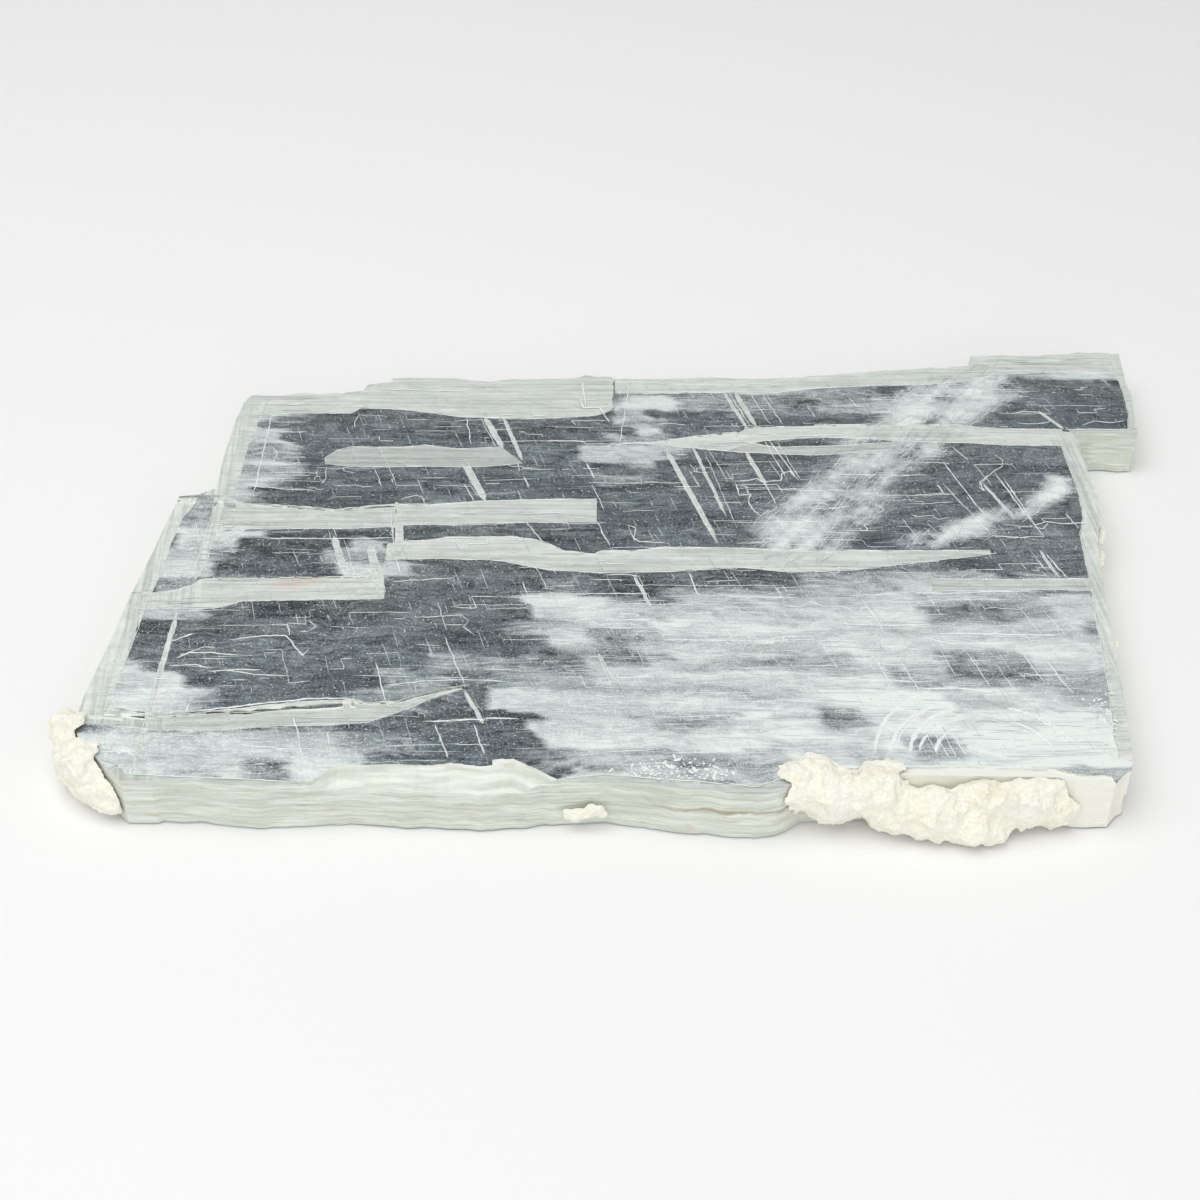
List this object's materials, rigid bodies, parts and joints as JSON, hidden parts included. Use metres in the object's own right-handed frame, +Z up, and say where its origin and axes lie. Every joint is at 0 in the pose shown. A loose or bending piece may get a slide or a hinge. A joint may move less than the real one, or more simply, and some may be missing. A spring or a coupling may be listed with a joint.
{
  "type": "selenite slab",
  "caption": "Clear cleavage slab of selenite with stepped broken edges and patches of cream matrix crust, lying flat on its face.",
  "frame": {"origin": "middle of the bounding box on the flat underside", "axes": "+X along the long cleavage lines, +Y from the crusted front edge to the back, +Z up out of the top cleavage face"},
  "size_m": [0.2001, 0.1422, 0.0118],
  "materials": {
    "selenite": "smooth clear cleavage face, frosted broken edges",
    "matrix": "rough granular earth"
  },
  "bodies": {
    "root": {"selenite_slab": "selenite", "crust_front_right": "matrix", "crust_front_left": "matrix", "crust_front_middle": "matrix", "crust_right_back": "matrix", "crust_right_middle": "matrix", "crust_right_front": "matrix"}
  },
  "joints": []
}
